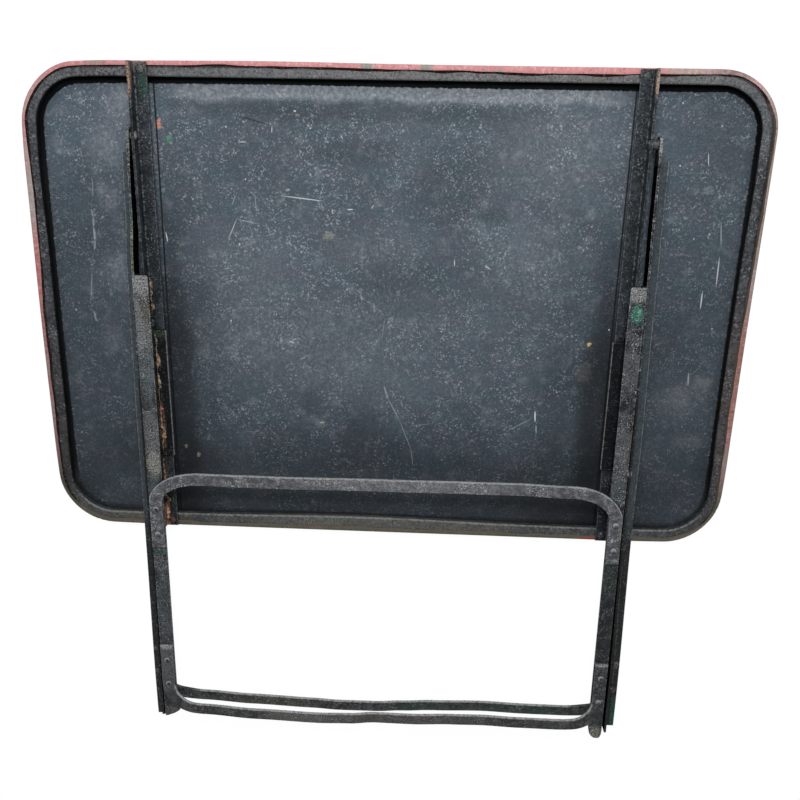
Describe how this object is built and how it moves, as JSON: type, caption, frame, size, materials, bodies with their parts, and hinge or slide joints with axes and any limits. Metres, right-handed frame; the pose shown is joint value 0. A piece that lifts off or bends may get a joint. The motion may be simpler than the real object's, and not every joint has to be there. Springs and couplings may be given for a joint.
{
  "type": "folding tray table",
  "caption": "Folding steel tray table: thin rolled-edge top on an angle hoop, battens, and riveted angle-iron scissor legs with crossbars and swing-up stays, folded face down.",
  "frame": {"origin": "centre of the table's top face, which faces down when the table lies folded", "axes": "+X along the table, +Y towards the long edge that carries the outer legs' hinges, +Z away from the top face, towards the folded legs"},
  "size_m": [0.9, 0.896, 0.0485],
  "materials": {
    "tray_paint": "worn red paint on the top face and the rolled edge, dark bare underside",
    "underside_paint": "worn dark paint over green",
    "leg_paint": "worn black paint with rubbed edges and green remains",
    "bar_paint": "worn black paint with rubbed edges",
    "rivet_iron": "hammered heads, painted and rubbed"
  },
  "bodies": {
    "tray": {"tray_sheet": "tray_paint", "edge_hoop": "underside_paint", "left_batten": "underside_paint", "right_batten": "underside_paint", "batten_rivets": "rivet_iron", "left_tray_pivot": "rivet_iron", "right_tray_pivot": "rivet_iron", "left_pivot_spacer": "rivet_iron", "right_pivot_spacer": "rivet_iron", "left_stay_pivot": "rivet_iron", "right_stay_pivot": "rivet_iron"},
    "outer_leg_frame": {"left_outer_leg": "leg_paint", "right_outer_leg": "leg_paint", "outer_lower_crossbar": "bar_paint", "outer_lower_crossbar_rivets": "rivet_iron", "left_cross_pivot": "rivet_iron", "right_cross_pivot": "rivet_iron", "left_cross_washer": "rivet_iron", "right_cross_washer": "rivet_iron"},
    "inner_leg_frame": {"left_inner_leg": "leg_paint", "right_inner_leg": "leg_paint", "inner_upper_crossbar": "bar_paint", "inner_upper_crossbar_rivets": "rivet_iron", "inner_lower_crossbar": "bar_paint", "inner_lower_crossbar_rivets": "rivet_iron"},
    "left_stay_arm": {"left_stay": "leg_paint"},
    "right_stay_arm": {"right_stay": "leg_paint"}
  },
  "joints": [
    {"name": "leg_fold", "type": "hinge", "parent": "tray", "child": "outer_leg_frame", "pos_m": [0, 0.216, 0.024], "axis": [-1, 0, 0], "range_deg": [0, 65]},
    {"name": "cross_fold", "type": "hinge", "parent": "outer_leg_frame", "child": "inner_leg_frame", "pos_m": [0, -0.193, 0.0284], "axis": [-1, 0, 0], "range_deg": [0, 50]},
    {"name": "left_stay_swing", "type": "hinge", "parent": "tray", "child": "left_stay_arm", "pos_m": [-0.3, -0.011, 0.0242], "axis": [-1, 0, 0], "range_deg": [0, 75.54]},
    {"name": "right_stay_swing", "type": "hinge", "parent": "tray", "child": "right_stay_arm", "pos_m": [0.3, -0.011, 0.0242], "axis": [-1, 0, 0], "range_deg": [0, 75.54]}
  ],
  "couplings": [
    {"joint": "cross_fold", "follows": "leg_fold", "ratio": 0.76923},
    {"joint": "left_stay_swing", "follows": "leg_fold", "ratio": 1.162},
    {"joint": "right_stay_swing", "follows": "leg_fold", "ratio": 1.162}
  ]
}
